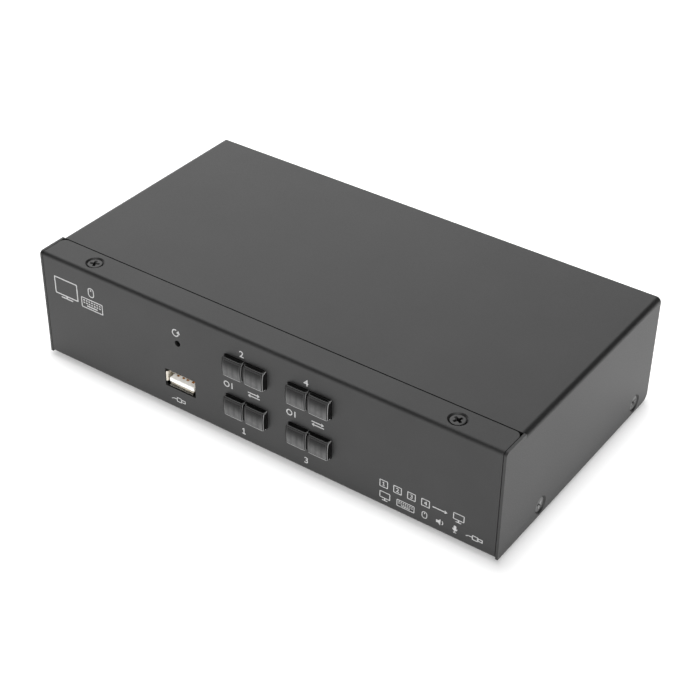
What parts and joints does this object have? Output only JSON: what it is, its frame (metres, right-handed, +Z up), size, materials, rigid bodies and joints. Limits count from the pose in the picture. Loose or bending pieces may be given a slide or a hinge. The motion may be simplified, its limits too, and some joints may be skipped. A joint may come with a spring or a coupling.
{
  "type": "kvm switch",
  "caption": "Flat dark sheet-metal KVM switch: front push buttons, USB socket and reset pinhole; video, USB, audio and power sockets behind.",
  "frame": {"origin": "on the surface that the feet stand on, under the middle of the case", "axes": "+X to the right seen from the front, +Y from the front panel to the rear panel, +Z up"},
  "size_m": [0.2, 0.1126, 0.0462],
  "materials": {
    "case_paint": "fine matte powder coat, anthracite grey",
    "black_screw": "black zinc, satin",
    "foot_rubber": "matte",
    "board_green": "solder mask, satin",
    "plated_steel": "bright zinc",
    "header_black": "moulded, matte",
    "button_smoke": "smoked translucent, polished",
    "switch_black": "moulded, matte",
    "plunger_ivory": "moulded, satin",
    "led_clear": "diffused epoxy",
    "socket_metal": "nickel plated, satin",
    "insert_white": "moulded, satin",
    "insert_black": "moulded, satin",
    "contact_gold": "thin gold plating over copper alloy",
    "jack_green": "moulded, satin",
    "jack_pink": "moulded, satin",
    "chip_black": "moulded epoxy, matte",
    "sink_aluminium": "milled",
    "capacitor_sleeve": "shrink sleeve, glossy"
  },
  "bodies": {
    "case": {"chassis_tray": "case_paint", "top_cover": "case_paint", "flange_screws": "black_screw", "side_screws": "black_screw", "rubber_feet": "foot_rubber", "main_board": "board_green", "main_board_spacers": "plated_steel", "main_board_screws": "plated_steel", "upper_board": "board_green", "upper_board_spacers": "plated_steel", "upper_board_screws": "plated_steel", "front_board": "board_green", "front_header": "header_black", "stacking_header": "header_black", "button_switch_1": "switch_black", "button_switch_2": "switch_black", "button_switch_3": "switch_black", "button_switch_4": "switch_black", "status_leds": "led_clear", "reset_switch": "switch_black", "front_usb_shell": "socket_metal", "front_usb_insert": "insert_white", "front_usb_contacts": "contact_gold", "hdmi_shell_1": "socket_metal", "hdmi_shell_2": "socket_metal", "hdmi_shell_3": "socket_metal", "hdmi_shell_4": "socket_metal", "hdmi_out_shell": "socket_metal", "hdmi_inserts": "insert_black", "usb_b_shell_1": "socket_metal", "usb_b_shell_2": "socket_metal", "usb_b_shell_3": "socket_metal", "usb_b_shell_4": "socket_metal", "usb_b_insert_1": "insert_white", "usb_b_insert_2": "insert_white", "usb_b_insert_3": "insert_white", "usb_b_insert_4": "insert_white", "usb_b_contacts": "contact_gold", "console_usb_shell": "socket_metal", "console_usb_insert": "insert_black", "console_usb_contacts": "contact_gold", "speaker_jack": "jack_green", "microphone_jack": "jack_pink", "power_jack": "insert_black", "power_jack_pin": "plated_steel", "video_switch_chip": "chip_black", "heat_sink": "sink_aluminium", "hub_chip": "chip_black", "control_chip": "chip_black", "capacitors": "capacitor_sleeve", "inductors": "chip_black"},
    "button_1": {"button_cap_1": "button_smoke", "switch_plunger_1": "plunger_ivory"},
    "button_2": {"button_cap_2": "button_smoke", "switch_plunger_2": "plunger_ivory"},
    "button_3": {"button_cap_3": "button_smoke", "switch_plunger_3": "plunger_ivory"},
    "button_4": {"button_cap_4": "button_smoke", "switch_plunger_4": "plunger_ivory"},
    "reset": {"reset_plunger": "plunger_ivory"}
  },
  "joints": [
    {"name": "button_1_press", "type": "slide", "parent": "case", "child": "button_1", "axis": [0, 1, 0], "range_m": [0, 0.0005], "stiffness_N_per_m": 300, "springref_m": -0.0015},
    {"name": "button_2_press", "type": "slide", "parent": "case", "child": "button_2", "axis": [0, 1, 0], "range_m": [0, 0.0005], "stiffness_N_per_m": 300, "springref_m": -0.0015},
    {"name": "button_3_press", "type": "slide", "parent": "case", "child": "button_3", "axis": [0, 1, 0], "range_m": [0, 0.0005], "stiffness_N_per_m": 300, "springref_m": -0.0015},
    {"name": "button_4_press", "type": "slide", "parent": "case", "child": "button_4", "axis": [0, 1, 0], "range_m": [0, 0.0005], "stiffness_N_per_m": 300, "springref_m": -0.0015},
    {"name": "reset_press", "type": "slide", "parent": "case", "child": "reset", "axis": [0, 1, 0], "range_m": [0, 0.00025], "stiffness_N_per_m": 150, "springref_m": -0.002}
  ]
}
